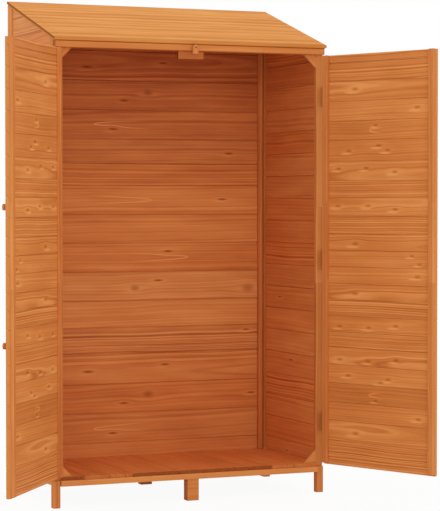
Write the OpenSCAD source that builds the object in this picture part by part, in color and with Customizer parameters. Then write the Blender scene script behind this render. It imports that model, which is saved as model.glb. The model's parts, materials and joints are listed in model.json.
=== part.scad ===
// Wooden garden shed with two board doors and a single-pitch roof.
// Plan depth is counted from the front faces of the front posts, heights from the ground.
// The origin is the middle of the front middle foot's underside.

/* [Plan] */
// Width over the corner posts
frame_w = 1010; // [800:10:1400]
// Depth over the corner posts
frame_d = 494; // [400:2:800]
// Width and depth of a front post, and width of a back post
post_w = 25; // [20:1:45]
// Depth of a back post
back_post_d = 45; // [30:1:70]
// Depth of the rebate in which the doors close, in the front of the front posts
door_rebate = 8; // [4:1:12]

/* [Heights] */
// Ground to the underside of the bottom rails
foot_h = 74; // [40:1:150]
// Ground to the underside of the head rail
opening_z = 1551; // [1200:1:1900]

/* [Base and floor] */
// Height of the bottom rails and the joist
rail_h = 19; // [15:1:40]
// Length by which the front rail and the middle foot stand out past the front posts
rail_over = 10; // [0:1:18]
// Width of a side rail under the floor
side_rail_w = 20; // [12:1:40]
// Depth of the back bottom rail
back_rail_d = 25; // [18:1:45]
// Thickness of the floor boards
floor_t = 12; // [9:1:25]
// Width of a middle foot and of the joist above it
middle_foot_w = 43; // [25:1:80]
// Depth of a middle foot
middle_foot_d = 33; // [20:1:60]

/* [Walls] */
// Thickness of the wall boards
wall_t = 12; // [9:1:18]
// Set-back of the wall boards from the outer faces of the posts
wall_recess = 5; // [2:0.5:6]
// Width of an inner batten on the back wall
batten_w = 17; // [12:1:40]
// Thickness of an inner batten on the back wall
batten_t = 14; // [8:1:25]

/* [Roof] */
// Thickness of the roof panel
roof_t = 13; // [9:0.5:25]
// Rise of the roof from its front edge to its back edge
roof_rise = 162; // [80:1:300]
// Overhang past each side
roof_side_over = 1; // [1:1:60]
// Overhang past the fascia
roof_front_over = 4; // [1:1:60]
// Overhang past the back posts
roof_back_over = 4; // [1:1:60]
// Width of a rafter batten on a side wall
rafter_w = 20; // [12:1:40]
// Height of a rafter batten and of the back top rail
rafter_h = 28; // [15:1:50]
// Depth of the back top rail
top_rail_d = 25; // [15:1:27]

/* [Fascia, corner blocks and stop] */
// Thickness of the fascia board
fascia_t = 18; // [12:1:30]
// Height of the fascia board's front face
fascia_h = 19.6; // [15:0.2:60]
// Length by which the fascia board stops short of the posts' outer sides
fascia_short = 5; // [0:1:15]
// Length of a corner block's two square edges
corner_leg = 47; // [25:1:90]
// Thickness of a corner block
corner_t = 12; // [6:1:15]
// Width of the door stop
stop_w = 96; // [40:1:200]
// Height of the door stop
stop_h = 27; // [15:1:50]
// Thickness of the door stop
stop_t = 15; // [8:1:16]
// Room between a closed door and the corner blocks or the door stop
stop_gap = 5; // [3:0.5:6]

/* [Doors] */
// Thickness of the door boards
door_board_t = 13; // [9:1:20]
// Width of a door stile
stile_w = 21; // [15:1:60]
// Thickness of a door stile
stile_t = 13; // [9:1:20]
// Length by which the stiles stop short of the boards' lower edge
stile_short = 5; // [2:1:30]
// Room between a closed door and the rebate of the posts
door_gap = 5; // [3:0.5:10]
// Room between the two doors
edge_gap = 5; // [3:0.5:10]
// Room between a door and its frame leaves
hinge_gap = 4; // [3:0.5:10]
// Room between the doors and the fascia
door_top_gap = 5; // [3:0.5:15]
// Height of the doors' lower edge above the bottom rail
door_sill_gap = 13; // [5:1:40]
// Opening angle at which the left door stands
left_angle = 127; // [0:1:180]
// Opening angle at which the right door stands
right_angle = 112; // [0:1:180]

/* [Hinges] */
// Height of a hinge
leaf_h = 70; // [40:1:120]
// Thickness of a leaf
leaf_t = 2; // [1.5:0.1:3]
// Width of a leaf on the door
door_leaf_w = 38; // [20:1:80]
// Depth to which a leaf is let into the side of the post
frame_leaf_d = 23; // [14:1:24]
// Radius of a knuckle
knuckle_r = 4; // [3.5:0.1:5]
// Radius of the hinge pin
pin_r = 2; // [1.5:0.1:2.5]

/* [Turn buttons] */
// Width of a turn button
button_w = 20; // [14:1:24]
// Thickness of a turn button
button_t = 8; // [5:0.5:15]
// Radius of the round boss behind a turn button
boss_r = 7; // [4:0.5:7]
// Room between a turn button and the doors that it holds
button_gap = 5; // [3:0.5:10]
// Length of the top turn button below its pivot
top_reach = 22.6; // [16:0.2:40]
// Length of a door turn button from its pivot
door_reach = 30; // [24:1:60]
// Distance of a door turn button's pivot from the door's free edge
button_inset = 14; // [12:0.5:16]

/* [Hidden] */
// Radial room round a hinge pin
pin_clear = 0.08;
// Room between the knuckles of a hinge
knuckle_gap = 0.3;
// Room between a turn button's boss and its seat
seat_gap = 0.3;
// Room between the roof panel and the pieces that carry it
roof_seat_gap = 0.2;
// Overrun of a cut past the face that it leaves
overrun = 1;
// Heights of the hinges' middles, as shares of the door's height
hinge_shares = [0.1, 0.5, 0.9];
// Heights of the door turn buttons' pivots, as shares of the door's height
upper_button_share = 0.632;
lower_button_share = 0.331;

$fn = 48;

half_w = frame_w / 2;
opening_half_w = half_w - post_w;
wall_outer_x = half_w - wall_recess;
wall_inner_x = wall_outer_x - wall_t;
back_wall_y = frame_d - wall_recess - wall_t;
back_post_y = frame_d - back_post_d;
back_rail_y = frame_d - wall_recess - back_rail_d;
rail_top_z = foot_h + rail_h;
floor_z = rail_top_z + floor_t;

roof_run = roof_front_over + fascia_t + frame_d + roof_back_over;
roof_slope = roof_rise / roof_run;
roof_plumb_t = roof_t * sqrt(1 + roof_slope * roof_slope);
top_rail_y = back_wall_y - top_rail_d;

door_t = stile_t + door_board_t;
door_inner_y = door_rebate - door_gap;
door_board_y = door_inner_y - stile_t;
door_outer_y = door_inner_y - door_t;
stop_y = door_inner_y + stop_gap;
door_free_x = edge_gap / 2;
leaf_x = half_w - leaf_t;
door_hinge_x = leaf_x - hinge_gap;
door_w = door_hinge_x - door_free_x;
door_bottom_z = rail_top_z + door_sill_gap;
door_top_z = opening_z - door_top_gap;
door_h = door_top_z - door_bottom_z;

axis_x = leaf_x + leaf_t / 2;
axis_y = door_outer_y - leaf_t / 2;
knuckle_h = (leaf_h - 2 * knuckle_gap) / 3;
knuckle_pitch = knuckle_h + knuckle_gap;
leaf_clear = knuckle_r + knuckle_gap;

top_boss_h = button_gap - door_outer_y - fascia_t - seat_gap;
door_boss_h = button_gap - seat_gap;

// Height of the roof's underside at a depth
function under_roof(y) = opening_z + fascia_h + (y + fascia_t) * roof_slope;

// Puts the origin under the middle of the front middle foot
module place() translate([0, rail_over - middle_foot_d / 2, 0]) children();

// The left side is the mirror image of the right side
module left() place() mirror([1, 0, 0]) children();
module right() place() children();

// A door's pieces are drawn closed, on the right, and turned to where the door stands
module swing(angle) translate([axis_x, axis_y, 0]) rotate([0, 0, angle])
    translate([-axis_x, -axis_y, 0]) children();

// Outline in depth and height, drawn out in width
module across(x, w) translate([x, 0, 0]) rotate([90, 0, 90]) linear_extrude(w) children();

// Upright piece whose top lies under the roof
module under_roof_piece(x, w, y, d, z) across(x, w)
    polygon([[y, z], [y + d, z], [y + d, under_roof(y + d)], [y, under_roof(y)]]);

// Sloping piece of even height, right under the roof
module along_roof_piece(x, w, y, d, h) across(x, w)
    polygon([[y, under_roof(y) - h], [y + d, under_roof(y + d) - h],
        [y + d, under_roof(y + d)], [y, under_roof(y)]]);

// Lower ends of the hinges of one door
function hinge_feet() = [for (share = hinge_shares) door_bottom_z + share * door_h - leaf_h / 2];

// The doors close in a rebate between the front rail's level and the head rail, and the frame leaves
// of the hinges are let in flush with the outer side
module front_post() color("peru") difference() {
    under_roof_piece(opening_half_w, post_w, 0, post_w, 0);
    translate([opening_half_w - overrun, -overrun, rail_top_z])
        cube([post_w + 2 * overrun, door_rebate + overrun, opening_z - rail_top_z]);
    for (z = hinge_feet()) translate([leaf_x, -overrun, z])
        cube([leaf_t + overrun, frame_leaf_d + overrun, leaf_h]);
}

module back_post() color("peru")
    under_roof_piece(opening_half_w, post_w, back_post_y, back_post_d, 0);

module middle_foot(y) place() color("peru") translate([-middle_foot_w / 2, y, 0])
    cube([middle_foot_w, middle_foot_d, foot_h]);

module cross_rail(y, d) place() color("sandybrown") translate([-opening_half_w, y, foot_h])
    cube([2 * opening_half_w, d, rail_h]);

module side_rail() color("sandybrown") translate([wall_inner_x - side_rail_w, post_w, foot_h])
    cube([side_rail_w, back_post_y - post_w, rail_h]);

module floor_joist() place() color("sandybrown") translate([-middle_foot_w / 2, post_w, foot_h])
    cube([middle_foot_w, back_rail_y - post_w, rail_h]);

// The floor is notched round the four posts
module floor_panel() place() color("chocolate") translate([0, 0, rail_top_z])
    linear_extrude(floor_t) {
        translate([-opening_half_w, 0]) square([2 * opening_half_w, back_wall_y]);
        translate([-wall_inner_x, post_w]) square([2 * wall_inner_x, back_post_y - post_w]);
    }

module side_wall() color("sienna")
    under_roof_piece(wall_inner_x, wall_t, post_w, back_post_y - post_w, foot_h);

module back_wall() place() color("sienna")
    under_roof_piece(-opening_half_w, 2 * opening_half_w, back_wall_y, wall_t, rail_top_z);

// The battens run from the floor to the back top rail
module back_batten() color("peru")
    translate([opening_half_w - batten_w, back_wall_y - batten_t, floor_z])
    cube([batten_w, batten_t, under_roof(top_rail_y) - rafter_h - floor_z]);

module rafter() color("peru") along_roof_piece(wall_inner_x - rafter_w, rafter_w, post_w,
    back_post_y - post_w, rafter_h);

module back_top_rail() place() color("peru") under_roof_piece(-opening_half_w,
    2 * opening_half_w, top_rail_y, top_rail_d, under_roof(top_rail_y) - rafter_h);

module head_rail() place() color("sandybrown")
    under_roof_piece(-opening_half_w, 2 * opening_half_w, 0, post_w, opening_z);

module fascia() place() color("sandybrown")
    under_roof_piece(fascia_short - half_w, frame_w - 2 * fascia_short, -fascia_t, fascia_t, opening_z);

module roof_panel() place() color("burlywood") translate([0, 0, roof_plumb_t + roof_seat_gap])
    along_roof_piece(-half_w - roof_side_over, frame_w + 2 * roof_side_over,
        -fascia_t - roof_front_over, roof_run, roof_plumb_t);

// Triangular block in a corner of the doorway, pointing up or down from a height
module corner_block(z, turn) color("peru") translate([opening_half_w, stop_y + corner_t, z])
    rotate([90, 0, 0]) linear_extrude(corner_t)
    polygon([[0, 0], [-corner_leg, 0], [0, turn * corner_leg]]);

module door_stop() place() color("peru") translate([-stop_w / 2, stop_y, opening_z - stop_h])
    cube([stop_w, stop_t, stop_h]);

module door_boards() color("darkorange") translate([door_free_x, door_outer_y, door_bottom_z])
    cube([door_w, door_board_t, door_h]);

module door_stile(x) color("peru") translate([x, door_board_y, door_bottom_z + stile_short])
    cube([stile_w, stile_t, door_h - stile_short]);

module hinge_stile() door_stile(door_hinge_x - stile_w);

module free_stile() door_stile(door_free_x);

// Leaves in the side of the post, each with its outer knuckles and the pin
module frame_hinges() color("silver") for (z = hinge_feet()) {
    translate([leaf_x, axis_y + leaf_clear, z])
        cube([leaf_t, frame_leaf_d - axis_y - leaf_clear, leaf_h]);
    for (step = [0, 2]) translate([0, 0, z + step * knuckle_pitch]) {
        translate([axis_x, axis_y, 0]) cylinder(h = knuckle_h, r = knuckle_r);
        translate([leaf_x, axis_y, 0]) cube([leaf_t, leaf_clear + leaf_t, knuckle_h]);
    }
    translate([axis_x, axis_y, z]) cylinder(h = leaf_h, r = pin_r);
}

// Leaves on the outer face of the door, each with its bored middle knuckle
module door_hinges() color("silver") for (z = hinge_feet()) difference() {
    union() {
        translate([axis_x - leaf_clear - door_leaf_w, door_outer_y - leaf_t, z])
            cube([door_leaf_w, leaf_t, leaf_h]);
        translate([axis_x, axis_y, z + knuckle_pitch]) cylinder(h = knuckle_h, r = knuckle_r);
        translate([axis_x - leaf_clear - leaf_t, door_outer_y - leaf_t, z + knuckle_pitch])
            cube([leaf_clear + leaf_t, leaf_t, knuckle_h]);
    }
    translate([axis_x, axis_y, z - overrun])
        cylinder(h = leaf_h + 2 * overrun, r = pin_r + pin_clear);
}

// Turn button hanging from a pivot, with a round boss behind it that stands on the seat
module turn_button(reach, boss_h) color("chocolate") rotate([90, 0, 0])
    translate([0, 0, seat_gap]) {
        cylinder(h = boss_h + button_t, r = boss_r);
        translate([0, 0, boss_h]) linear_extrude(button_t) {
            circle(r = button_w / 2);
            translate([-button_w / 2, -reach]) square([button_w, reach]);
        }
    }

module top_turn_button() place() translate([0, -fascia_t, opening_z + button_w / 2])
    turn_button(top_reach, top_boss_h);

// Turn button on the left door, pointing away from the door's free edge
module door_turn_button(share) left() swing(left_angle)
    translate([door_free_x + button_inset, door_outer_y, door_bottom_z + share * door_h])
    rotate([0, -90, 0]) turn_button(door_reach, door_boss_h);

left() front_post();  // front_left_post
right() front_post();  // front_right_post
left() back_post();  // back_left_post
right() back_post();  // back_right_post
middle_foot(-rail_over);  // front_middle_foot
middle_foot(back_rail_y - middle_foot_d);  // back_middle_foot
cross_rail(-rail_over, rail_over + post_w);  // front_bottom_rail
cross_rail(back_rail_y, back_rail_d);  // back_bottom_rail
left() side_rail();  // left_bottom_rail
right() side_rail();  // right_bottom_rail
floor_joist();
floor_panel();  // floor
left() side_wall();  // left_wall
right() side_wall();  // right_wall
back_wall();
left() back_batten();  // back_left_batten
right() back_batten();  // back_right_batten
left() rafter();  // left_rafter
right() rafter();  // right_rafter
back_top_rail();
head_rail();
fascia();
roof_panel();
left() corner_block(opening_z, -1);  // top_left_block
right() corner_block(opening_z, -1);  // top_right_block
left() corner_block(floor_z, 1);  // bottom_left_block
right() corner_block(floor_z, 1);  // bottom_right_block
door_stop();
left() frame_hinges();  // left_frame_hinges
right() frame_hinges();  // right_frame_hinges
left() swing(left_angle) door_boards();  // left_door_boards
left() swing(left_angle) hinge_stile();  // left_door_hinge_stile
left() swing(left_angle) free_stile();  // left_door_free_stile
left() swing(left_angle) door_hinges();  // left_door_hinges
right() swing(right_angle) door_boards();  // right_door_boards
right() swing(right_angle) hinge_stile();  // right_door_hinge_stile
right() swing(right_angle) free_stile();  // right_door_free_stile
right() swing(right_angle) door_hinges();  // right_door_hinges
top_turn_button();
door_turn_button(upper_button_share);  // upper_turn_button
door_turn_button(lower_button_share);  // lower_turn_button
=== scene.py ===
import json
import math
import random

import bmesh
import bpy
from mathutils import Matrix, Vector


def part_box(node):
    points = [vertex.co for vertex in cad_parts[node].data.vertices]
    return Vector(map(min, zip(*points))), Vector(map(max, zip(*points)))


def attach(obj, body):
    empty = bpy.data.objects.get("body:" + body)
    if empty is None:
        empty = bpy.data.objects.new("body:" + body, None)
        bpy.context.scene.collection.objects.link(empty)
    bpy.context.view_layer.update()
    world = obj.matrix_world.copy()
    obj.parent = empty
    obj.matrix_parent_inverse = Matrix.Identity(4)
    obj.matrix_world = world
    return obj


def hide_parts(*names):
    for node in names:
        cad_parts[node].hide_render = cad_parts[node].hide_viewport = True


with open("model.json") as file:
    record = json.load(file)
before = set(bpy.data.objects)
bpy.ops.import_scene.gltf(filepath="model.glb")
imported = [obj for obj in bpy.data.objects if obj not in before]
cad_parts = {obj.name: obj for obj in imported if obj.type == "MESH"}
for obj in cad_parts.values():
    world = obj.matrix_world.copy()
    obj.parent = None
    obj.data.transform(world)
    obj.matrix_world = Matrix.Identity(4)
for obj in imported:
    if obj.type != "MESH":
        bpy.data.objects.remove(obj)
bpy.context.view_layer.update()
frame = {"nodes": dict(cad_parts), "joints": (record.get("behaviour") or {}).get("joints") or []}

# Studio
# A plain pale floor that runs out of sight under an even white sky, with one large soft lamp in front.
# The camera stands left of the doorway at waist height, where the photograph was taken.
photo_height_px = 511
focal_px = 2062
camera_place = Vector((-2.740, -6.569, 1.037))
camera_yaw = math.radians(23.44)
camera_pitch = math.radians(1.53)
sky_level = 0.92
lamp_power = 70
lamp_size = 4.0
lamp_place = Vector((-1.0, -6.0, 1.2))
lamp_target = Vector((0, 0, 0.7))
floor_size = 60
floor_white_share = 0.94


def linear(hex_colour):
    """Linear RGBA of an sRGB hex colour."""
    parts = [int(hex_colour[i:i + 2], 16) / 255 for i in (1, 3, 5)]
    return [c / 12.92 if c <= 0.04045 else ((c + 0.055) / 1.055) ** 2.4 for c in parts] + [1.0]


def add(tree, kind, inputs=(), out=0, **settings):
    """Adds a node with its settings, and its inputs by socket: each a value or another node's output."""
    made = tree.nodes.new("ShaderNode" + kind)
    for name, value in settings.items():
        setattr(made, name, value)
    for socket, value in dict(inputs).items():
        if isinstance(value, bpy.types.NodeSocket):
            tree.links.new(value, made.inputs[socket])
        else:
            made.inputs[socket].default_value = value
    return made.outputs[out] if made.outputs else None


def seen_directly(tree):
    """1 where the studio is seen, also in a reflection or through glass, and 0 where it gives light."""
    path = add(tree, "LightPath").node.outputs
    seen = add(tree, "Math", {0: path["Is Camera Ray"], 1: path["Is Glossy Ray"]}, operation="MAXIMUM")
    return add(tree, "Math", {0: seen, 1: path["Is Transmission Ray"]}, operation="MAXIMUM")


scene = bpy.context.scene
scene.view_settings.view_transform = "Standard"

sky = bpy.data.worlds.new("white_sky")
sky.use_nodes = True
sky.node_tree.nodes.clear()
sky_strength = add(sky.node_tree, "Math", {0: seen_directly(sky.node_tree), 1: 1 - sky_level, 2: sky_level},
                   operation="MULTIPLY_ADD")
sky_light = add(sky.node_tree, "Background", {"Color": linear("#ffffff"), "Strength": sky_strength})
add(sky.node_tree, "OutputWorld", {"Surface": sky_light})
scene.world = sky

paper = bpy.data.materials.new("white_paper_floor")
paper.use_nodes = True
paper.node_tree.nodes.clear()
paper_matt = add(paper.node_tree, "BsdfDiffuse", {"Color": linear("#f6f6f4")})
paper_white = add(paper.node_tree, "Emission", {"Color": linear("#ffffff"), "Strength": 1.0})
paper_share = add(paper.node_tree, "Math", {0: seen_directly(paper.node_tree), 1: floor_white_share},
                  operation="MULTIPLY")
paper_mix = add(paper.node_tree, "MixShader", {0: paper_share, 1: paper_matt, 2: paper_white})
add(paper.node_tree, "OutputMaterial", {"Surface": paper_mix})

floor_sheet = bmesh.new()
bmesh.ops.create_grid(floor_sheet, x_segments=1, y_segments=1, size=floor_size / 2)
floor_mesh = bpy.data.meshes.new("studio_floor")
floor_sheet.to_mesh(floor_mesh)
floor_sheet.free()
floor_mesh.materials.append(paper)
studio_floor = bpy.data.objects.new("studio_floor", floor_mesh)
scene.collection.objects.link(studio_floor)

lamp = bpy.data.objects.new("soft_lamp", bpy.data.lights.new("soft_lamp", "AREA"))
lamp.data.energy = lamp_power
lamp.data.size = lamp_size
lamp.location = lamp_place
lamp.rotation_euler = (lamp_target - lamp_place).to_track_quat("-Z", "Y").to_euler()
scene.collection.objects.link(lamp)

camera = bpy.data.objects.new("camera", bpy.data.cameras.new("camera"))
camera.data.lens = focal_px / photo_height_px * camera.data.sensor_width
camera.location = camera_place
camera.rotation_euler = (math.pi / 2 - camera_pitch, 0, -camera_yaw)
scene.collection.objects.link(camera)
scene.camera = camera

# Stained fir
# All the timber is planed fir under a thin orange-brown stain, satin and slightly open-grained.
# A timber keeps the place of every point along, across and through it, so that its growth rings run
# through it as in a sawn log: straight stripes, pointed arches, eyes round the knots, arcs on the ends.
mm = 0.001
ring_spacing, late_sharpness = 3.4 * mm, 3.0
fibre_length, fibre_width = 70 * mm, 1.3 * mm
cloud_length, cloud_width = 260 * mm, 45 * mm
sway_length, sway_width, sway_reach = 420 * mm, 160 * mm, 16 * mm
noise_mean = 0.5
# A knot in its own radii: how far the rings part along and across it, and by what share, where its core
# begins and is full, and where the pale streak beside it lies, its size, and where it begins and is full
eye_length, eye_width, eye_pinch = 7, 2.6, 0.85
core_rim, core_heart = 1.6, 0.1
streak_along, streak_across, streak_length, streak_width = 2.5, 1.9, 6, 0.9
streak_rim, streak_heart = 1.2, 0.2
# A large knot is round and soft, with the same length, width and darkness in all the timber
large_knot, small_knot = 7 * mm, 6 * mm
large_knot_shape = (1 / 0.42, 1 / 0.65, 0.5)
far_knot = (-9.0, 0.0, 1 * mm)
# A pale loop's line, how pale it is, how soft its tip is, where its arms start to fade, and its sway
loop_line, loop_paleness, loop_tip_blur, loop_fade_start = 1.6 * mm, 0.8, 0.02, 0.2
loop_sway = sway_reach / 3
no_loop = (-9.0, 1 * mm, 0.0)
# How much each of these darkens the wood, and how dark it is where each of its three colours stands
band_share, late_share, fibre_share, cloud_share, eye_share, plain_share = 1.9, 0.16, 0.22, 0.5, -0.1, 0.1
light_stop, middle_stop, dark_stop = 0.12, 0.48, 0.95
red_tint, red_spread = "#fff0e4", 7.13
early_rough, late_rough = 0.62, 0.5
relief_height, fibre_relief = 0.35 * mm, 0.6
KNOT_MARKS = ("knot_1", "knot_2", "knot_3")
TIMBER_MARKS = ("grain", "figure", "tone", "pale_loop", *KNOT_MARKS)


def stained_fir(name, light, middle, dark, ends, strength=1.0, band=8 * mm, shine=0.08, streaks=0.5,
                knot="#b07438", knot_shape=(2.6, 1.0, 0.7), redder=0.0):
    """Fir under stain. The eye sees pale and dark bands along the grain, fine late-wood lines and dark knots.
    The bands take in several growth rings, as single rings are too fine to show from across a garden.
    A knot's colour tints the wood, and a small knot's shape is its length and width in radii and darkness."""
    made = bpy.data.materials.new(name)
    made.use_nodes = True
    tree = made.node_tree
    shader = tree.nodes["Principled BSDF"]
    vectors, parts = {}, {}
    for mark in TIMBER_MARKS:
        vectors[mark] = add(tree, "Attribute", out=1, attribute_name=mark)
        parts[mark] = add(tree, "SeparateXYZ", {0: vectors[mark]}).node.outputs
    along, across, through = parts["grain"]
    pith_across, pith_depth, pith_slope = parts["figure"]
    seed, shift, contrast = parts["tone"]
    end_grain = add(tree, "Attribute", out=2, attribute_name="end_grain")
    flow = add(tree, "CombineXYZ", {0: along, 1: across, 2: seed})

    # Slow sway of the grain along a timber
    sway_at = add(tree, "VectorMath", {0: flow, 1: (1 / sway_length, 1 / sway_width, 1)},
                  operation="MULTIPLY")
    sway = add(tree, "TexNoise", {"Vector": sway_at, "Scale": 1.0, "Detail": 1.0})
    sway = add(tree, "Math", {0: sway, 1: noise_mean}, operation="SUBTRACT")

    # Rings part round a knot, with a dark core and a pale streak beside it
    parted, core, near, streak = across, 0.0, 0.0, 0.0
    for mark in KNOT_MARKS:
        radius = parts[mark][2]
        offset = add(tree, "VectorMath", {0: vectors["grain"], 1: vectors[mark]}, operation="SUBTRACT")
        offset_across = add(tree, "SeparateXYZ", {0: offset}).node.outputs[1]
        inverse = add(tree, "Math", {0: 1.0, 1: radius}, operation="DIVIDE")
        offset = add(tree, "VectorMath", {0: offset, "Scale": inverse}, operation="SCALE")
        eye = add(tree, "VectorMath", {0: offset, 1: (1 / eye_length, 1 / eye_width, 0)},
                  operation="MULTIPLY")
        eye = add(tree, "VectorMath", {0: eye, 1: eye}, out=1, operation="DOT_PRODUCT")
        eye = add(tree, "Math", {0: eye, 1: -1.0}, operation="MULTIPLY")
        eye = add(tree, "Math", {0: eye}, operation="EXPONENT")
        pinch = add(tree, "Math", {0: eye, 1: -eye_pinch}, operation="MULTIPLY")
        parted = add(tree, "Math", {0: pinch, 1: offset_across, 2: parted}, operation="MULTIPLY_ADD")
        near = add(tree, "Math", {0: near, 1: eye}, operation="MAXIMUM")
        small = add(tree, "MapRange", {0: radius, 1: large_knot, 2: small_knot, 3: 0.0, 4: 1.0})
        flat = add(tree, "MapRange", {0: small, 3: 1 / large_knot_shape[0], 4: 1 / knot_shape[0]})
        thin = add(tree, "MapRange", {0: small, 3: 1 / large_knot_shape[1], 4: 1 / knot_shape[1]})
        squash = add(tree, "CombineXYZ", {0: flat, 1: thin})
        heart = add(tree, "VectorMath", {0: offset, 1: squash}, operation="MULTIPLY")
        heart = add(tree, "VectorMath", {0: heart}, out=1, operation="LENGTH")
        heart = add(tree, "MapRange", {0: heart, 1: core_rim, 2: core_heart, 3: 0.0, 4: 1.0},
                    interpolation_type="SMOOTHSTEP")
        darkness = add(tree, "MapRange", {0: small, 3: large_knot_shape[2], 4: knot_shape[2]})
        heart = add(tree, "Math", {0: heart, 1: darkness}, operation="MULTIPLY")
        core = add(tree, "Math", {0: core, 1: heart}, operation="MAXIMUM")
        beside = add(tree, "VectorMath", {0: offset, 1: (streak_along, streak_across, 0)}, operation="ADD")
        beside = add(tree, "VectorMath", {0: beside, 1: (1 / streak_length, 1 / streak_width, 0)},
                     operation="MULTIPLY")
        beside = add(tree, "VectorMath", {0: beside}, out=1, operation="LENGTH")
        beside = add(tree, "MapRange", {0: beside, 1: streak_rim, 2: streak_heart, 3: 0.0, 4: 1.0},
                     interpolation_type="SMOOTHSTEP")
        streak = add(tree, "Math", {0: streak, 1: beside}, operation="MAXIMUM")

    # Distance from the pith, through the timber
    depth = add(tree, "Math", {0: pith_slope, 1: along, 2: pith_depth}, operation="MULTIPLY_ADD")
    depth = add(tree, "Math", {0: depth, 1: through}, operation="ADD")
    side = add(tree, "Math", {0: parted, 1: pith_across}, operation="SUBTRACT")
    pith = add(tree, "CombineXYZ", {0: side, 1: depth})
    pith = add(tree, "VectorMath", {0: pith}, out=1, operation="LENGTH")
    pith = add(tree, "Math", {0: sway, 1: sway_reach, 2: pith}, operation="MULTIPLY_ADD")

    # Bands, late-wood lines, fibres and clouds of stain
    band_at = add(tree, "Math", {0: pith, 1: 1 / band, 2: seed}, operation="MULTIPLY_ADD")
    bands = add(tree, "TexNoise", {"W": band_at, "Scale": 1.0, "Detail": 2.0, "Roughness": 0.62},
                noise_dimensions="1D")
    late = add(tree, "Math", {0: pith, 1: 1 / ring_spacing}, operation="MULTIPLY")
    late = add(tree, "Math", {0: late}, operation="FRACT")
    late = add(tree, "Math", {0: late, 1: late_sharpness}, operation="POWER")
    fibre_scale = (1 / fibre_length, 1 / fibre_width, 1 / fibre_width)
    fibre_at = add(tree, "VectorMath", {0: vectors["grain"], 1: fibre_scale}, operation="MULTIPLY")
    fibre = add(tree, "TexNoise", {"Vector": fibre_at, "Scale": 1.0, "Detail": 2.0})
    cloud_at = add(tree, "VectorMath", {0: flow, 1: (1 / cloud_length, 1 / cloud_width, 1)},
                   operation="MULTIPLY")
    cloud = add(tree, "TexNoise", {"Vector": cloud_at, "Scale": 1.0, "Detail": 2.0})

    # A pale loop, where the saw ran out of a ring: a round tip and two arms that fade along the board
    loop_tip, loop_reach, loop_height = parts["pale_loop"]
    run = add(tree, "Math", {0: along, 1: loop_tip}, operation="SUBTRACT")
    run = add(tree, "Math", {0: run, 1: loop_reach}, operation="DIVIDE")
    spread = add(tree, "Math", {0: run, 1: 0.0}, operation="MAXIMUM")
    spread = add(tree, "Math", {0: spread}, operation="SQRT")
    spread = add(tree, "Math", {0: spread, 1: loop_height}, operation="MULTIPLY")
    arm = add(tree, "Math", {0: sway, 1: loop_sway, 2: parted}, operation="MULTIPLY_ADD")
    arm = add(tree, "Math", {0: arm}, operation="ABSOLUTE")
    arm = add(tree, "Math", {0: arm, 1: spread}, operation="SUBTRACT")
    arm = add(tree, "Math", {0: arm, 1: loop_line}, operation="DIVIDE")
    arm = add(tree, "Math", {0: arm, 1: 2.0}, operation="POWER")
    arm = add(tree, "Math", {0: arm, 1: -1.0}, operation="MULTIPLY")
    arm = add(tree, "Math", {0: arm}, operation="EXPONENT")
    begun = add(tree, "MapRange", {0: run, 1: -loop_tip_blur, 2: loop_tip_blur, 3: 0.0, 4: loop_paleness})
    faded = add(tree, "MapRange", {0: run, 1: loop_fade_start, 2: 1.0, 3: 1.0, 4: 0.0})
    loop = add(tree, "Math", {0: arm, 1: begun}, operation="MULTIPLY")
    loop = add(tree, "Math", {0: loop, 1: faded}, operation="MULTIPLY")

    # One measure of how dark the wood is, from 0 to 1
    bands = add(tree, "Math", {0: bands, 1: noise_mean}, operation="SUBTRACT")
    band_depth = add(tree, "Math", {0: contrast, 1: band_share * strength}, operation="MULTIPLY")
    late_depth = add(tree, "Math", {0: contrast, 1: late_share * strength}, operation="MULTIPLY")
    shade = shift
    for mark, share in ((bands, band_depth), (late, late_depth), (fibre, fibre_share), (cloud, cloud_share),
                        (near, eye_share), (streak, -streaks)):
        shade = add(tree, "Math", {0: mark, 1: share, 2: shade}, operation="MULTIPLY_ADD")
    shade = add(tree, "Math", {0: shade, 1: loop}, operation="SUBTRACT")
    shade = add(tree, "Math", {0: shade, 1: plain_share}, operation="ADD")
    ramp = add(tree, "ValToRGB", {0: shade})
    stops = ramp.node.color_ramp.elements
    stops[0].position, stops[0].color = light_stop, linear(light)
    stops[1].position, stops[1].color = dark_stop, linear(dark)
    stops.new(middle_stop).color = linear(middle)

    # Some boards take the stain redder than others, and knots and sawn ends take it darker
    red_share = add(tree, "Math", {0: seed, 1: red_spread}, operation="MULTIPLY")
    red_share = add(tree, "Math", {0: red_share}, operation="FRACT")
    red_share = add(tree, "Math", {0: red_share, 1: redder}, operation="MULTIPLY")
    colour = add(tree, "Mix", {0: red_share, 6: ramp, 7: linear(red_tint)}, out=2, data_type="RGBA",
                 blend_type="MULTIPLY")
    colour = add(tree, "Mix", {0: core, 6: colour, 7: linear(knot)}, out=2, data_type="RGBA",
                 blend_type="MULTIPLY")
    colour = add(tree, "Mix", {0: end_grain, 6: colour, 7: linear(ends)}, out=2, data_type="RGBA")
    tree.links.new(colour, shader.inputs["Base Color"])

    # Satin stain: late wood stands a little proud and shines a little more
    rough = add(tree, "MapRange", {0: shade, 1: 0.0, 2: 1.0, 3: early_rough, 4: late_rough})
    tree.links.new(rough, shader.inputs["Roughness"])
    relief = add(tree, "Math", {0: fibre, 1: fibre_relief, 2: shade}, operation="MULTIPLY_ADD")
    bump = add(tree, "Bump", {"Strength": 0.3, "Distance": relief_height, "Height": relief})
    tree.links.new(bump, shader.inputs["Normal"])
    shader.inputs["Specular IOR Level"].default_value = shine
    return made


frame_fir = stained_fir("stained_fir_frame", "#e09552", "#cf7e41", "#b0622c", "#8f5022")

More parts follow.
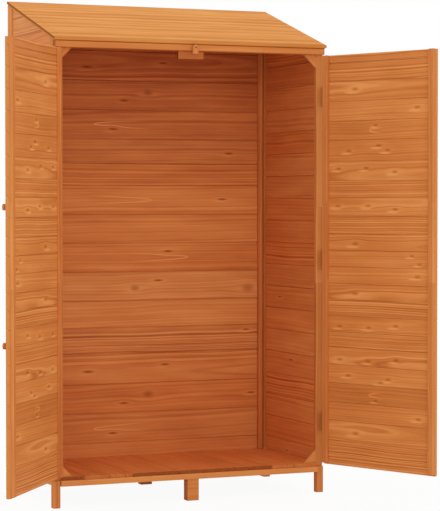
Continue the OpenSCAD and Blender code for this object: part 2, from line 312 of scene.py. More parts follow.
# Front posts
# Two sawn posts, 25 mm square, glued up end to end from three lengths. Their front is cut back between
# the floor and the head rail, where the doors close, and their tops are sawn to the slope of the roof.
post_breaks, post_shades = (745 * mm, 1015 * mm), (0.08, -0.1, -0.1)
post_rebate = 8 * mm
glue_line = 0.1 * mm
round_over = 1.2 * mm
# How much of the dark stain of end grain a sawn end shows, and how far a face has to lean to be an end
end_share, end_lean = 0.4, 0.35
# How far the figure, the place in the noise and the darkness of a timber may stray
figure_stray, seed_stray, tone_stray = (0.8, 1.25), (0, 90), (-0.06, 0.06)
# Each figure's pith, across and behind the timber in mm, its slope along it, and its bands' contrast
FIGURES = {
    "striped": (240, 60, 0.006, 1.0),
    "plain": (95, 55, 0.012, 0.4),
    "arched": (8, 30, 0.035, 0.6),
    "eyed": (16, 34, 0.012, 0.62),
}


def join(whole, part):
    """Adds one mesh under work to another, and frees it."""
    passing = bpy.data.meshes.new("passing")
    part.to_mesh(passing)
    part.free()
    whole.from_mesh(passing)
    bpy.data.meshes.remove(passing)


class Joinery:
    """A piece of the shed made of one or more timbers. Each point keeps its place in its own timber."""

    def __init__(self, name):
        self.name = name
        self.chance = random.Random(name)
        self.mesh = bmesh.new()
        self.marks = {mark: [] for mark in TIMBER_MARKS}
        self.ends = []

    def add(self, timber, where, figure="plain", knots=(), shift=0.0, ends=end_share, ripped=0.0):
        """Takes a timber that lies in the frame, with the matrix that set it there, and the share of the dark
        stain of end grain on its ends and on its faces that were ripped along the grain."""
        bmesh.ops.recalc_face_normals(timber, faces=timber.faces)
        back = where.inverted()
        turn = back.to_3x3()
        figure, *loop = figure if isinstance(figure, tuple) else (figure,)
        across, depth, slope, contrast = FIGURES[figure]
        way = self.chance.choice((-1, 1))
        stray = self.chance.uniform(*figure_stray)
        fixed = {
            "pale_loop": [size * mm for size in loop] or no_loop,
            "figure": (way * across * stray * mm, depth * stray * mm, way * slope * stray),
            "tone": (self.chance.uniform(*seed_stray), shift + self.chance.uniform(*tone_stray), contrast),
        }
        for place, mark in enumerate(KNOT_MARKS):
            fixed[mark] = knots[place] if place < len(knots) else far_knot
        for vertex in timber.verts:
            self.marks["grain"].append(back @ vertex.co)
            for mark, value in fixed.items():
                self.marks[mark].append(value)
        for face in timber.faces:
            rip = ripped if face.material_index else 0.0
            self.ends.append(ends if abs((turn @ face.normal).normalized().x) > end_lean else rip)
            face.material_index = 0
        join(self.mesh, timber)

    def done(self, material, body, slot, *nodes):
        """Makes the piece, which stands for these nodes and moves with that body."""
        mesh = bpy.data.meshes.new(self.name)
        self.mesh.to_mesh(mesh)
        self.mesh.free()
        for mark, rows in self.marks.items():
            layer = mesh.attributes.new(mark, "FLOAT_VECTOR", "POINT")
            layer.data.foreach_set("vector", [number for row in rows for number in row])
        mesh.attributes.new("end_grain", "FLOAT", "FACE").data.foreach_set("value", self.ends)
        settle(self.name, mesh, material, body, slot, *nodes)


def settle(name, mesh, material, body, slot, *nodes):
    """Puts a finished mesh in the scene, on its body and in place of its nodes."""
    mesh.materials.append(material)
    piece = bpy.data.objects.new(name, mesh)
    scene.collection.objects.link(piece)
    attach(piece, body)
    if nodes:
        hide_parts(*nodes)


def lay(origin, along, across, out):
    """Matrix that sets a timber down with its length, width and thickness along these directions."""
    matrix = Matrix((along, across, out)).transposed().to_4x4()
    matrix.translation = origin
    return matrix


def prism(outline, direction):
    """An outline drawn out along a direction."""
    made = bmesh.new()
    face = made.faces.new([made.verts.new(point) for point in outline])
    drawn = bmesh.ops.extrude_face_region(made, geom=[face])["geom"]
    moved = [part for part in drawn if isinstance(part, bmesh.types.BMVert)]
    bmesh.ops.translate(made, verts=moved, vec=direction)
    bmesh.ops.recalc_face_normals(made, faces=made.faces)
    return made


def ease(timber, width=round_over, edges=None):
    """Takes off the sharp edges."""
    bmesh.ops.bevel(timber, geom=edges or timber.edges[:], offset=width, segments=2, profile=0.5,
                    affect="EDGES", material=-1, clamp_overlap=True)
    return timber


def saw(timber, point, normal):
    """Saws off what lies past a plane, and closes the cut."""
    parts = timber.verts[:] + timber.edges[:] + timber.faces[:]
    sawn = bmesh.ops.bisect_plane(timber, geom=parts, plane_co=point, plane_no=normal, clear_outer=True)
    rim = [part for part in sawn["geom_cut"] if isinstance(part, bmesh.types.BMEdge)]
    if rim:
        for face in bmesh.ops.holes_fill(timber, edges=rim, sides=0)["faces"]:
            face.material_index = 1
    return timber


fascia_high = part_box("fascia")[1]
back_post_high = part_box("back_left_post")[1]
roof_edge = (0, fascia_high.y, fascia_high.z)
roof_slope = (back_post_high.z - fascia_high.z) / (back_post_high.y - fascia_high.y)
roof_normal = Vector((0, -roof_slope, 1)).normalized()
roof_upward = Vector((0, 1, roof_slope)).normalized()
opening_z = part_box("head_rail")[0].z
sill_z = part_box("floor")[0].z
X, Y, Z = Vector((1, 0, 0)), Vector((0, 1, 0)), Vector((0, 0, 1))


def under_roof(y):
    """Height of the roof's underside at a depth."""
    return fascia_high.z + (y - fascia_high.y) * roof_slope


def lengths(piece, make, where, breaks, shades, ends=end_share):
    """Adds a timber that is glued up from lengths, sawn at these heights, each with its own darkness."""
    for bottom, top, shade in zip((None, *breaks), (*breaks, None), shades):
        timber = make()
        if bottom:
            saw(timber, (0, 0, bottom + glue_line / 2), -Z)
        if top:
            saw(timber, (0, 0, top - glue_line / 2), Z)
        piece.add(timber, where, shift=shade, ends=ends)


for side in ("left", "right"):
    low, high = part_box(f"front_{side}_post")
    seat_y = low.y + post_rebate
    outline = [(low.x, y, z) for y, z in (
        (low.y, low.z), (high.y, low.z), (high.y, under_roof(high.y)), (low.y, under_roof(low.y)),
        (low.y, opening_z), (seat_y, opening_z), (seat_y, sill_z), (low.y, sill_z))]
    post = Joinery(f"front_{side}_post_timber")
    middle = (low + high) / 2
    lengths(post, lambda: ease(prism(outline, X * (high.x - low.x))),
            lay((middle.x, middle.y, low.z), Z, X, Y), post_breaks, post_shades)
    post.done(frame_fir, "frame", "frame_timber", f"front_{side}_post")

# Other frame timbers
# Back posts, middle feet, bottom rails, joist, head rail, fascia, back top rail and door stop:
# square-sawn bars of fir with eased edges, nailed together. What meets the roof is sawn to its slope.
BAR_DIRECTIONS = {
    "back_left_post": Z, "back_right_post": Z, "front_middle_foot": X, "back_middle_foot": X,
    "front_bottom_rail": X, "back_bottom_rail": X, "left_bottom_rail": Y, "right_bottom_rail": Y,
    "floor_joist": Y, "back_top_rail": X, "head_rail": X, "fascia": X, "door_stop": X,
}
DARK_ENDS = {"door_stop": 1.0}
# One shade for a bar in one length, two for one that is glued up just above the floor. The front bottom rail,
# the middle feet and the back posts' lower lengths are painted paler, as painted light under the floor, and
# the back right post's upper length is painted darker, as painted shade in the inside corner
BAR_TONE_AND_PAINTED_LIGHT = {
    "front_bottom_rail": (-0.25,), "front_middle_foot": (-0.15,), "back_middle_foot": (-0.4,),
    "door_stop": (0.4,), "fascia": (0.1,), "back_left_post": (-0.2, -0.1), "back_right_post": (-0.2, 0.35),
}
back_post_break = 110 * mm


def bar(low, high):
    """A square bar with eased edges that fills a box."""
    made = bmesh.new()
    fill = Matrix.Translation((low + high) / 2) @ Matrix.Diagonal((*(high - low), 1))
    bmesh.ops.create_cube(made, size=1, matrix=fill)
    return ease(made)


def bar_place(low, high, along):
    """Place of a bar's own length, width and thickness."""
    middle = (low + high) / 2
    start = middle - along * (high - low).dot(along) / 2
    across = Y if along == X else X
    return lay(start, along, across, along.cross(across))


for node, along in BAR_DIRECTIONS.items():
    low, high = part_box(node)
    shades = BAR_TONE_AND_PAINTED_LIGHT.get(node, (0,))
    breaks = (back_post_break,) if len(shades) > 1 else ()
    piece = Joinery(f"{node}_timber")
    lengths(piece, lambda: saw(bar(low, high), roof_edge, roof_normal), bar_place(low, high, along),
            breaks, shades, DARK_ENDS.get(node, end_share))
    piece.done(frame_fir, "frame", "frame_timber", node)

# Rafter battens
# Two square-sawn bars of fir along the tops of the side walls, between the front and the back posts.
# They lie on the slope of the roof, and the roof boards are nailed down on them.
for side in ("left", "right"):
    low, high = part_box(f"{side}_rafter")
    drop = under_roof(low.y) - low.z
    outline = [(low.x, low.y, under_roof(low.y) - drop), (low.x, high.y, under_roof(high.y) - drop),
               (low.x, high.y, under_roof(high.y)), (low.x, low.y, under_roof(low.y))]
    rafter = Joinery(f"{side}_rafter_timber")
    start = Vector(((low.x + high.x) / 2, low.y, under_roof(low.y) - drop / 2))
    rafter.add(ease(prism(outline, X * (high.x - low.x))), lay(start, roof_upward, X, -roof_normal))
    rafter.done(frame_fir, "frame", "frame_timber", f"{side}_rafter")

# Corner blocks
# Four triangles of fir with eased edges, fixed in the corners of the doorway to keep it square.
# They are sawn so that their grain runs along the slanting side.
for level, edge in (("top", 1), ("bottom", -1)):
    for side, hand in (("left", -1), ("right", 1)):
        low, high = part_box(f"{level}_{side}_block")
        corner_x, tip_x = (high.x, low.x) if hand > 0 else (low.x, high.x)
        corner_z, tip_z = (high.z, low.z) if edge > 0 else (low.z, high.z)
        outline = [(corner_x, low.y, corner_z), (tip_x, low.y, corner_z), (corner_x, low.y, tip_z)]
        slant = (Vector(outline[2]) - Vector(outline[1])).normalized()
        block = Joinery(f"{level}_{side}_block_timber")
        block.add(ease(prism(outline, Y * (high.y - low.y))), lay(outline[1], slant, slant.cross(Y), Y))
        block.done(frame_fir, "frame", "frame_timber", f"{level}_{side}_block")

# Wall boards
# Matched boards of fir with a tongue and a groove and eased edges, nailed between the posts.
# The side walls are of narrower boards than the back wall, and their top boards are sawn to the roof's slope.
board_gap = 2.1 * mm
board_chamfer = 1.9 * mm
side_gap, side_chamfer, plain_chamfer = 0.5 * mm, 2.2 * mm, 0.4 * mm
tongue_share = 0.34
tongue_length = 5 * mm
tongue_play = 0.2 * mm
end_ease = 0.4 * mm
side_board_width = 80.9 * mm
SIDE_SHADES = {"left": -0.2, "right": 0.0}
SIDE_FIGURES = {"left": ("striped", "striped", "plain"), "right": ("plain", "plain", "plain", "striped")}
# Painted shade: a side wall is painted darker upwards by this much, for the shade under the roof,
# and is as dark as its boards' shade at this share of its height
side_painted_shade, side_painted_shade_middle = 0.2, 0.85
side_knot_counts = (0, 0, 0, 1)
side_knot_along, side_knot_across, side_knot_radius_mm = (0.05, 0.38), (-0.02, 0.02), (3, 5)


def matched_board(where, length, width, thickness, tongue=True, groove=True, gap=board_gap,
                  chamfer=board_chamfer, back=None):
    """A board set down by a matrix that takes X to its length, Y to its width and Z to its thickness.
    The tongue is on its upper edge, and its two faces can be eased by different chamfers."""
    back = chamfer if back is None else back
    lower, upper, half = (gap - width) / 2, (width - gap) / 2, thickness / 2
    part = thickness * tongue_share / 2
    outline = [(lower + chamfer, -half), (upper - chamfer, -half), (upper, chamfer - half)]
    if tongue:
        tip = upper + tongue_length
        outline += [(upper, -part), (tip, -part), (tip, part), (upper, part)]
    outline += [(upper, half - back), (upper - back, half), (lower + back, half), (lower, half - back)]
    if groove:
        bed, play = lower + tongue_length - gap + tongue_play, part + tongue_play
        outline += [(lower, play), (bed, play), (bed, -play), (lower, -play)]
    outline += [(lower, chamfer - half)]
    made = prism([(0, y, z) for y, z in outline], X * length)
    rims = [e for e in made.edges if abs(e.verts[0].co.x - e.verts[1].co.x) < end_ease]
    ease(made, end_ease, rims)
    bmesh.ops.transform(made, matrix=where, verts=made.verts)
    return made


wall_fir = stained_fir("stained_fir_wall_boards", "#e49a5a", "#d28045", "#a5522b", "#8a4a20", 0.85,
                       streaks=0.1, knot="#a56a34", knot_shape=(3.4, 0.75, 0.85), redder=1.0)

for side, hand in (("left", -1), ("right", 1)):
    low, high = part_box(f"{side}_wall")
    wall = Joinery(f"{side}_wall_boards")
    row = 0
    while low.z + row * side_board_width < high.z:
        start_y = low.y if hand > 0 else high.y
        start = Vector(((low.x + high.x) / 2, start_y, low.z + (row + 0.5) * side_board_width))
        where = lay(start, hand * Y, Z, hand * X)
        board = matched_board(where, high.y - low.y, side_board_width, high.x - low.x, True, row > 0,
                              side_gap, side_chamfer, plain_chamfer)
        saw(board, roof_edge, roof_normal)
        kind = wall.chance.choice(SIDE_FIGURES[side])
        knots = [(wall.chance.uniform(*side_knot_along), wall.chance.uniform(*side_knot_across),
                  wall.chance.uniform(*side_knot_radius_mm) * mm)
                 for spare in range(wall.chance.choice(side_knot_counts))]
        if board.verts:
            # Painted shade: the higher a side board stands, the darker it is painted
            painted_shade = side_painted_shade * (start.z / high.z - side_painted_shade_middle)
            wall.add(board, where, kind, knots, SIDE_SHADES[side] + painted_shade)
        row += 1
    wall.done(wall_fir, "frame", "wall_boards", f"{side}_wall")

# Back wall from the top down: each board's width, its figure, with the tip, reach and height of a pale loop,
# its darkness, and its knots' place along it, height above its middle line and radius. The top boards'
# darkness rises towards the roof as painted shade under the roof and head rail
BACK_BOARDS = [
    (106, "plain", 0.4, ()),
    (107, "eyed", 0.36, ((268, -7, 6), (564, 14, 5))),
    (106, "plain", 0.26, ((411, -19, 5), (505, 10, 7))),
    (107, ("plain", 295, 230, 15), 0.18, ((368, -17, 5),)),
    (89, "plain", 0.1, ((828, -4, 5),)),
    (80, "striped", 0.06, ()),
    (105, ("plain", 520, -260, 15), 0, ((800, 3, 5),)),
    (105, "plain", 0.04, ()),
    (105, ("plain", 663, -230, 15), 0.06, ((583, 22, 5),)),
    (105, "plain", 0, ((453, -7, 7), (544, 20, 5), (906, -14, 10))),
    (98, "plain", -0.08, ()),
    (94, "striped", 0, ((898, 29, 4),)),
    (111, "eyed", -0.04, ((270, -8, 6), (571, 10, 5))),
    (107, "plain", 0, ((409, -18, 5), (504, 11, 8), (919, 3, 5))),
    (107, ("plain", 293, 230, 15), 0.04, ((366, -19, 5),)),
    (61, "plain", 0, ()),
]
low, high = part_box("back_wall")
back_wall = Joinery("back_wall_boards")
edge_z = low.z + sum(width for width, *rest in BACK_BOARDS) * mm
rows = [(high.z - edge_z, edge_z, "plain", 0, ())]
for width, figure, shift, knots in BACK_BOARDS:
    edge_z -= width * mm
    rows.append((width * mm, edge_z, figure, shift, [Vector(knot) * mm for knot in knots]))
for width, bottom_z, figure, shift, knots in rows:
    where = lay((low.x, (low.y + high.y) / 2, bottom_z + width / 2), X, Z, -Y)
    board = matched_board(where, high.x - low.x, width, high.y - low.y, groove=bottom_z > low.z + mm)
    back_wall.add(saw(board, roof_edge, roof_normal), where, figure, knots, shift)
back_wall.done(wall_fir, "frame", "wall_boards", "back_wall")

# Corner battens
# Two square-sawn bars of fir up the back corners inside, from the floor to the back top rail.
# The back wall's boards are nailed to them from behind.
batten_shade = 0.08
for side in ("left", "right"):
    low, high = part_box(f"back_{side}_batten")
    batten = Joinery(f"back_{side}_batten_timber")
    batten.add(bar(low, high), bar_place(low, high, Z), shift=batten_shade)
    batten.done(wall_fir, "frame", "frame_timber", f"back_{side}_batten")

# Floor boards
# Matched boards of fir from front to back on the rails and the joist, with a narrow strip beside each side
# wall. They are nailed down at both ends, and some of their sawn ends took more of the stain than others.
floor_fir = stained_fir("stained_fir_floor_boards", "#f0a05a", "#e48748", "#b9612d", "#7c380e", 0.6)
floor_count = 11
floor_figures, floor_end_shares = ("striped", "striped", "arched", "plain"), (0.35, 0.8, 1.0)
low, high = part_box("floor")
post_low, post_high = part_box("front_right_post")
post_inner_x, post_depth = post_low.x, post_high.y - post_low.y
back_post_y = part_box("back_right_post")[0].y
floor_width = 2 * post_inner_x / floor_count
floor_boards = Joinery("floor_boards")
for row in range(floor_count):
    where = lay((-post_inner_x + (row + 0.5) * floor_width, low.y, (low.z + high.z) / 2), Y, -X, Z)
    board = matched_board(where, high.y - low.y, floor_width, high.z - low.z, row > 0, row < floor_count - 1)
    kind = floor_boards.chance.choice(floor_figures)
    floor_boards.add(board, where, kind, ends=floor_boards.chance.choice(floor_end_shares))
for inner_x, outer_x in ((-post_inner_x, low.x), (post_inner_x, high.x)):
    strip_low = Vector((min(inner_x, outer_x), low.y + post_depth, low.z))
    strip_high = Vector((max(inner_x, outer_x), back_post_y, high.z))
    floor_boards.add(bar(strip_low, strip_high), bar_place(strip_low, strip_high, Y))
floor_boards.done(floor_fir, "frame", "floor_boards", "floor")

# Roof boards
# Matched boards of fir across the slope, nailed down on the rafters through thin lining boards. The lining
# stops short of the edges, so that a dark line runs under the palest boards, whose paleness is painted light.
# Paler colours and little shine of their own: light from above and the sky's sheen on the slope are painted
# light
roof_fir_painted_light = stained_fir("stained_fir_roof_boards_painted_light", "#f5b367", "#e3954b", "#bd6b2a", "#9c5617", 0.4,
                       band=26 * mm, shine=0.02)
roof_count = 6
# The top boards' sawn ends take nearly all of the dark end colour: dark end grain, and painted shade along
# the roof's side edges
roof_end_grain_and_shade_share, lining_end_share, ripped_share = 0.9, 0.1, 0.35
roof_joint, roof_chamfer = 0.4 * mm, 0.5 * mm
lining_share = 0.34
lining_short = Vector((1.5 * mm, 9 * mm, 0))
low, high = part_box("roof_panel")
roof_thickness = (high.z - under_roof(high.y)) * roof_normal.z
lining = roof_thickness * lining_share
roof_length = (high.y - low.y) / roof_upward.y
pitch = roof_length / roof_count
roof_boards = Joinery("roof_boards")
for row in range(roof_count):
    first, last = row == 0, row == roof_count - 1
    start = row * pitch - roof_thickness * first
    width = pitch + roof_thickness * (first + last)
    for base, top, short, ends in ((lining, roof_thickness, Vector(), roof_end_grain_and_shade_share),
                                   (0, lining, lining_short, lining_end_share)):
        where = lay(low + X * short.x + roof_upward * (start + width / 2) + roof_normal * (base + top) / 2,
                    X, roof_upward, roof_normal)
        upper = base > 0
        board = matched_board(where, high.x - low.x - 2 * short.x, width, top - base, upper and not last,
                              upper and not first, roof_joint, roof_chamfer)
        saw(board, low + short, -Y)
        saw(board, high - short, Y)
        roof_boards.add(board, where, "striped", ends=ends, ripped=ripped_share)
roof_boards.done(roof_fir_painted_light, "frame", "roof_boards", "roof_panel")

# Doors
# Each door is a row of matched fir boards nailed to two stiles on its inner side, hung at its outer edge.
# Both doors are cut from the same stock, so their boards match as a pair across the doorway.
door_fir = stained_fir("stained_fir_door_boards", "#e9a05c", "#d78544", "#b3642d", "#cf8546", 0.9,
                       band=5.5 * mm, knot="#c89a40", knot_shape=(2.6, 1.0, 0.68))
stile_breaks, stile_shades = (760 * mm, 1030 * mm), (0, 0, 0)
door_joint, door_chamfer, door_end_share = 0.6 * mm, 0.9 * mm, 0.85
nail_shares = (0.28, 0.72)
hinge_joints = {joint["child"]: joint for joint in frame["joints"]}
# From the top down, as for the back wall, with places counted from the hinges
DOOR_BOARDS = [
    (28, "striped", 0, ()),
    (67, "striped", 0, ()),
    (68, "eyed", -0.05, ((141, 7, 6),)),
    (69, "plain", 0, ((418, 4, 5),)),
    (67, ("plain", 205, 60, 11), 0.08, ((235, 16, 4),)),
    (73, "plain", 0, ((112, -1, 5), (248, 16, 5), (288, -1, 5))),
    (68, "eyed", -0.03, ((65, 8, 5), (192, 9, 5), (320, -5, 5))),
    (61, "striped", 0, ()),
    (61, "eyed", -0.03, ((63, 3, 5), (201, 4, 5), (323, -8, 5))),
    (64, "striped", 0, ()),
    (57, "eyed", -0.05, ((143, -5, 6),)),
    (58, "plain", 0, ((396, 14, 4), (429, -14, 4))),
    (59, "plain", 0.02, ((421, 2, 5),)),
    (55, "eyed", -0.05, ((143, -5, 6),)),
    (58, "striped", 0, ()),
    (57, "eyed", -0.03, ((72, -8, 5), (205, -8, 5), (326, 2, 5))),
    (54, "striped", 0, ()),
    (61, "eyed", -0.03, ((72, -12, 5), (203, -12, 5), (327, -2, 5))),
    (65, "plain", 0, ((111, -3, 5), (259, -20, 5), (293, -7, 5))),
    (67, ("plain", 205, 60, 11), 0.08, ((237, -18, 4),)),
    (65, "plain", 0, ((426, -3, 5),)),
    (71, "eyed", -0.05, ((146, -4, 6),)),
    (60, "striped", 0, ()),
    (27, "striped", 0, ()),
]


def swing(door):
    """Matrix that takes a closed door to where it stands."""
    joint = hinge_joints[door]
    pivot = Matrix.Translation(joint["pos_m"])
    turn = Matrix.Rotation(math.radians(-joint["range_deg"][0]), 4, Vector(joint["axis"]))
    return pivot @ turn @ pivot.inverted()


def moved_box(node, move):
    """Lowest and highest corner of a node that a matrix has moved."""
    points = [move @ vertex.co for vertex in frame["nodes"][node].data.vertices]
    return Vector(map(min, zip(*points))), Vector(map(max, zip(*points)))


def closed_box(node, door):
    """Lowest and highest corner of a node while its door is closed."""
    return moved_box(node, swing(door).inverted())


door_nail_spots = {}
for side, hand in (("left", -1), ("right", 1)):
    door = f"{side}_door"
    stand = swing(door)
    low, high = closed_box(f"{side}_door_boards", door)
    hinge_x = high.x if hand > 0 else low.x
    boards = Joinery(f"{side}_door_board_row")
    boards.chance.seed("door boards")
    stiles = {which: closed_box(f"{side}_door_{which}_stile", door) for which in ("hinge", "free")}
    scale = (high.z - low.z) / sum(width for width, *rest in DOOR_BOARDS)
    edge_z = high.z
    door_nail_spots[side] = []
    for place, (width, figure, shift, knots) in enumerate(DOOR_BOARDS):
        width *= scale
        edge_z -= width
        where = stand @ lay((hinge_x, (low.y + high.y) / 2, edge_z + width / 2), -hand * X, Z, Y)
        board = matched_board(where, high.x - low.x, width, high.y - low.y, place > 0,
                              place < len(DOOR_BOARDS) - 1, door_joint, door_chamfer)
        boards.add(board, where, figure, [Vector(knot) * mm for knot in knots], shift, door_end_share)
        for stile_low, stile_high in stiles.values():
            for share in nail_shares:
                spot = Vector(((stile_low.x + stile_high.x) / 2, low.y, edge_z + share * width))
                door_nail_spots[side].append(stand @ lay(spot, X, -Z, -Y))
    boards.done(door_fir, door, "door_boards", f"{side}_door_boards")

    for which, (low, high) in stiles.items():
        middle = (low + high) / 2
        where = lay((middle.x, middle.y, low.z), Z, X, Y)
        stile = Joinery(f"{side}_door_{which}_stile_timber")
        lengths(stile, lambda: bar(low, high), where, stile_breaks, stile_shades)
        bmesh.ops.transform(stile.mesh, matrix=stand, verts=stile.mesh.verts)
        stile.done(frame_fir, door, "frame_timber", f"{side}_door_{which}_stile")

# Hinges
# Pressed steel hinges plated with yellow zinc, three to a door. The frame leaf is let into the outer side of
# the post and has the pin and two knuckles; the door leaf lies on the boards and has the middle knuckle.
# Three screws hold each leaf.
hinge_shares = (0.1, 0.5, 0.9)
leaf_height, leaf_thickness, leaf_proud, leaf_corner = 70 * mm, 2 * mm, 0.3 * mm, 6 * mm
knuckle_radius, pin_radius, knuckle_gap, knuckle_ease = 4 * mm, 2 * mm, 0.3 * mm, 0.5 * mm
frame_screws = ((38, 12), (38, 35), (38, 58))
door_screws = ((17, 12), (31, 35), (17, 58))
screw_radius, screw_height, screw_sides = 3.2 * mm, 0.5 * mm, 20
screw_slot, screw_arm, screw_sink, facing_up = 0.4 * mm, 1.9 * mm, 0.4 * mm, 0.9
spangle_size, rolled_width, rolled_length, rolled_relief = 9 * mm, 0.6 * mm, 14 * mm, 0.05 * mm
plating_metallic, rough_stray, spangle_low, spangle_high = 0.6, 0.15, 0.3, 0.7


def plated_steel(name, pale, dull, rough):
    """Plated steel. The eye sees a dull metal with a cloudy spangle and fine rolling marks."""
    made = bpy.data.materials.new(name)
    made.use_nodes = True
    tree = made.node_tree
    shader = tree.nodes["Principled BSDF"]
    place = add(tree, "TexCoord", out=3)
    spangle = add(tree, "TexNoise", {"Vector": place, "Scale": 1 / spangle_size, "Detail": 3.0})
    rolled_scale = (1 / rolled_width, 1 / rolled_width, 1 / rolled_length)
    rolled_at = add(tree, "VectorMath", {0: place, 1: rolled_scale}, operation="MULTIPLY")
    rolled = add(tree, "TexNoise", {"Vector": rolled_at, "Scale": 1.0, "Detail": 1.0})
    colour = add(tree, "Mix", {0: spangle, 6: linear(pale), 7: linear(dull)}, out=2, data_type="RGBA")
    tree.links.new(colour, shader.inputs["Base Color"])
    shader.inputs["Metallic"].default_value = plating_metallic
    rough_here = add(tree, "MapRange", {0: spangle, 1: spangle_low, 2: spangle_high, 3: rough,
                                        4: rough + rough_stray})
    tree.links.new(rough_here, shader.inputs["Roughness"])
    bump = add(tree, "Bump", {"Strength": 0.15, "Distance": rolled_relief, "Height": rolled})
    tree.links.new(bump, shader.inputs["Normal"])
    return made


def leaf(outline):
    """A pressed leaf with its outer corners rounded, from its outline outwards from the pin and upwards."""
    made = prism([(away, -leaf_thickness / 2, up) for away, up in outline], Y * (leaf_thickness + leaf_proud))
    reach = max(away for away, up in outline)
    corners = [e for e in made.edges if all(v.co.x > reach - knuckle_gap for v in e.verts)
               and abs(e.verts[0].co.z - e.verts[1].co.z) < knuckle_gap]
    bmesh.ops.bevel(made, geom=corners, offset=leaf_corner, segments=5, profile=0.5,
                    affect="EDGES", material=-1)
    return made


def rod(radius, bottom, top, edge=knuckle_ease, segments=28):
    """A round rod on Z with eased rims."""
    made = bmesh.new()
    bmesh.ops.create_cone(made, cap_ends=True, segments=segments, radius1=radius, radius2=radius,
                          depth=top - bottom, matrix=Matrix.Translation((0, 0, (bottom + top) / 2)))
    rims = [e for e in made.edges if abs(e.verts[0].co.z - e.verts[1].co.z) < knuckle_gap]
    return ease(made, edge, rims)


def screw_head():
    """A flat screw head that stands up along Z, with a cross sunk in it."""
    made = rod(screw_radius, -screw_height, screw_height, screw_height / 2, screw_sides)
    for direction in (X, Y):
        for offset in (screw_slot, screw_arm):
            for sign in (-1, 1):
                parts = made.verts[:] + made.edges[:] + made.faces[:]
                bmesh.ops.bisect_plane(made, geom=parts, plane_co=direction * sign * offset,
                                       plane_no=direction)
    cross = []
    for face in made.faces:
        middle = face.calc_center_median()
        short, long = sorted((abs(middle.x), abs(middle.y)))
        if face.normal.z > facing_up and short < screw_slot and long < screw_arm:
            cross.append(face)
    sunk = bmesh.ops.extrude_face_region(made, geom=cross)["geom"]
    moved = [part for part in sunk if isinstance(part, bmesh.types.BMVert)]
    bmesh.ops.translate(made, verts=moved, vec=-Z * screw_sink)
    bmesh.ops.delete(made, geom=cross, context="FACES_ONLY")
    bmesh.ops.recalc_face_normals(made, faces=made.faces)
    return made


def scatter(name, template, places, material, body):
    """One piece of a small steel part at all these places."""
    pattern = bpy.data.meshes.new("pattern")
    template().to_mesh(pattern)
    made = bmesh.new()
    for spot in places:
        copy = pattern.copy()
        copy.transform(spot)
        made.from_mesh(copy)
        bpy.data.meshes.remove(copy)
    bpy.data.meshes.remove(pattern)
    mesh = bpy.data.meshes.new(name)
    bmesh.ops.recalc_face_normals(made, faces=made.faces)
    made.to_mesh(mesh)
    made.free()
    settle(name, mesh, material, body, "hinge_steel")


zinc = plated_steel("yellow_zinc_steel", "#d9b27c", "#b98a55", 0.5)
knuckle_height = (leaf_height - 2 * knuckle_gap) / 3
knuckle_pitch = knuckle_height + knuckle_gap
clear = knuckle_radius + knuckle_gap
for side, hand in (("left", -1), ("right", 1)):
    door = f"{side}_door"
    stand = swing(door)
    pin = Vector(hinge_joints[door]["pos_m"])
    boards_low, boards_high = closed_box(f"{side}_door_boards", door)
    feet = [boards_low.z + share * (boards_high.z - boards_low.z) - leaf_height / 2 for share in hinge_shares]
    frame_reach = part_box(f"{side}_frame_hinges")[1].y - pin.y
    hinge_low, hinge_high = closed_box(f"{side}_door_hinges", door)
    door_reach = hinge_high.x - hinge_low.x - knuckle_radius
    steps = [0, knuckle_height, knuckle_pitch, knuckle_pitch + knuckle_height, 2 * knuckle_pitch, leaf_height]
    frame_leaf = [(0, steps[0]), (frame_reach, steps[0]), (frame_reach, steps[5]), (0, steps[5]),
                  (0, steps[4]), (clear, steps[4]), (clear, steps[1]), (0, steps[1])]
    door_leaf = [(clear, steps[0]), (door_reach, steps[0]), (door_reach, steps[5]), (clear, steps[5]),
                 (clear, steps[3]), (0, steps[3]), (0, steps[2]), (clear, steps[2])]
    for name, body, turn, outline, away, out, rods, spots in (
            (f"{side}_frame_hinges", "frame", Matrix(), frame_leaf, Y, hand * X,
             ((knuckle_radius, steps[0], steps[1]), (knuckle_radius, steps[4], steps[5]),
              (pin_radius, steps[0], steps[5])), frame_screws),
            (f"{side}_door_hinges", door, stand, door_leaf, -hand * X, -Y,
             ((knuckle_radius, steps[2], steps[3]),), door_screws)):
        hinges = bmesh.new()
        screws = []
        for foot in feet:
            where = turn @ lay((pin.x, pin.y, foot), away, out, Z)
            for part in (leaf(outline), *(rod(*sizes) for sizes in rods)):
                bmesh.ops.transform(part, matrix=where, verts=part.verts)
                bmesh.ops.recalc_face_normals(part, faces=part.faces)
                join(hinges, part)
            for spot_away, spot_up in spots:
                head = where @ Vector((spot_away * mm, leaf_thickness / 2 + leaf_proud, spot_up * mm))
                facing = where.to_3x3()
                screws.append(lay(head, facing @ X, facing @ Z, facing @ Y))
        mesh = bpy.data.meshes.new(f"{name}_steel")
        hinges.to_mesh(mesh)
        hinges.free()
        settle(f"{name}_steel", mesh, zinc, body, "hinge_steel", name)
        scatter(f"{name}_screws", screw_head, screws, zinc, body)

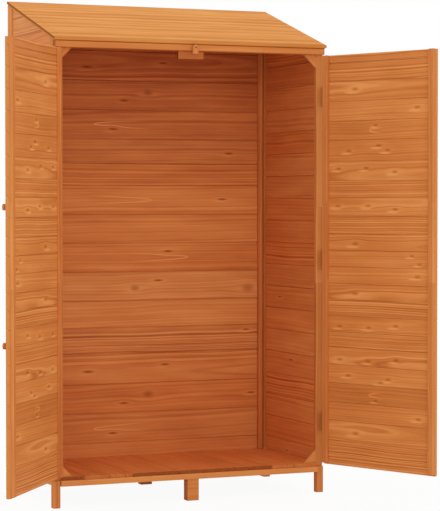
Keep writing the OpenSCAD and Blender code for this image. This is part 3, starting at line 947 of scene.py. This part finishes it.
# Turn buttons
# Small fir blocks with one round end that turn on a dark screw, each on a round boss that keeps it clear of
# the doors. One hangs from the fascia; two are on the left door and turn across the edge of the right one.
browned = plated_steel("browned_steel", "#7d5230", "#5c3a20", 0.5)
button_thickness, boss_radius, button_ease, button_shade = 8 * mm, 7 * mm, 1.5 * mm, -0.1
arc_steps = 12
left_turn = swing("left_door").to_3x3()
for body, node, out, point in (
        ("top_button", "top_turn_button", -Y, -Z),
        ("upper_button", "upper_turn_button", left_turn @ -Y, left_turn @ -X),
        ("lower_button", "lower_turn_button", left_turn @ -Y, left_turn @ -X)):
    where = lay(hinge_joints[body]["pos_m"], point, out.cross(point), out)
    low, high = moved_box(node, where.inverted())
    radius, under = high.y, high.z - button_thickness
    angles = [math.pi * (0.5 + step / arc_steps) for step in range(arc_steps + 1)]
    outline = [(radius * math.cos(a), radius * math.sin(a), under) for a in angles]
    outline += [(high.x, -radius, under), (high.x, radius, under)]
    button = Joinery(f"{node}_timber")
    for timber in (ease(prism(outline, Z * button_thickness), button_ease),
                   rod(boss_radius, low.z, under + button_ease)):
        bmesh.ops.transform(timber, matrix=where, verts=timber.verts)
        button.add(timber, where, shift=button_shade)
    button.done(frame_fir, body, "frame_timber", node)
    head = where @ Matrix.Translation((0, 0, high.z))
    scatter(f"{node}_screw", screw_head, [head], browned, body)

# Nails
# Small flat heads of browned steel nails, two to each end of a board: through the door boards into the
# stiles, the back boards into the corner battens, the roof into the rafters and the floor into the rails.
nail_radius, nail_height, nail_ease, nail_sides = 1.7 * mm, 0.25 * mm, 0.12 * mm, 12


def nail_head():
    """A flat round nail head that stands up along Z, half of it in the wood."""
    return rod(nail_radius, -nail_height, nail_height, nail_ease, nail_sides)


for side in ("left", "right"):
    scatter(f"{side}_door_nails", nail_head, door_nail_spots[side], browned, f"{side}_door")

back_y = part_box("back_wall")[1].y
spots = []
for width, bottom_z, *rest in rows:
    for side in ("left", "right"):
        low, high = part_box(f"back_{side}_batten")
        for share in nail_shares:
            spot = Vector(((low.x + high.x) / 2, back_y, bottom_z + share * width))
            if spot.z < high.z:
                spots.append(lay(spot, X, Z, Y))
scatter("back_wall_nails", nail_head, spots, browned, "frame")

roof_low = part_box("roof_panel")[0]
spots = []
for row in range(roof_count):
    for side in ("left", "right"):
        low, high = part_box(f"{side}_rafter")
        for share in nail_shares:
            spot = roof_low + roof_upward * (row + share) * pitch + roof_normal * roof_thickness
            spot.x = (low.x + high.x) / 2
            spots.append(lay(spot, X, roof_upward, roof_normal))
scatter("roof_nails", nail_head, spots, browned, "frame")

floor_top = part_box("floor")[1].z
spots = []
for row in range(floor_count):
    for rail in ("front_bottom_rail", "back_bottom_rail"):
        low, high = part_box(rail)
        for share in nail_shares:
            spot = Vector((-post_inner_x + (row + share) * floor_width, (low.y + high.y) / 2, floor_top))
            spots.append(lay(spot, X, Y, Z))
scatter("floor_nails", nail_head, spots, browned, "frame")
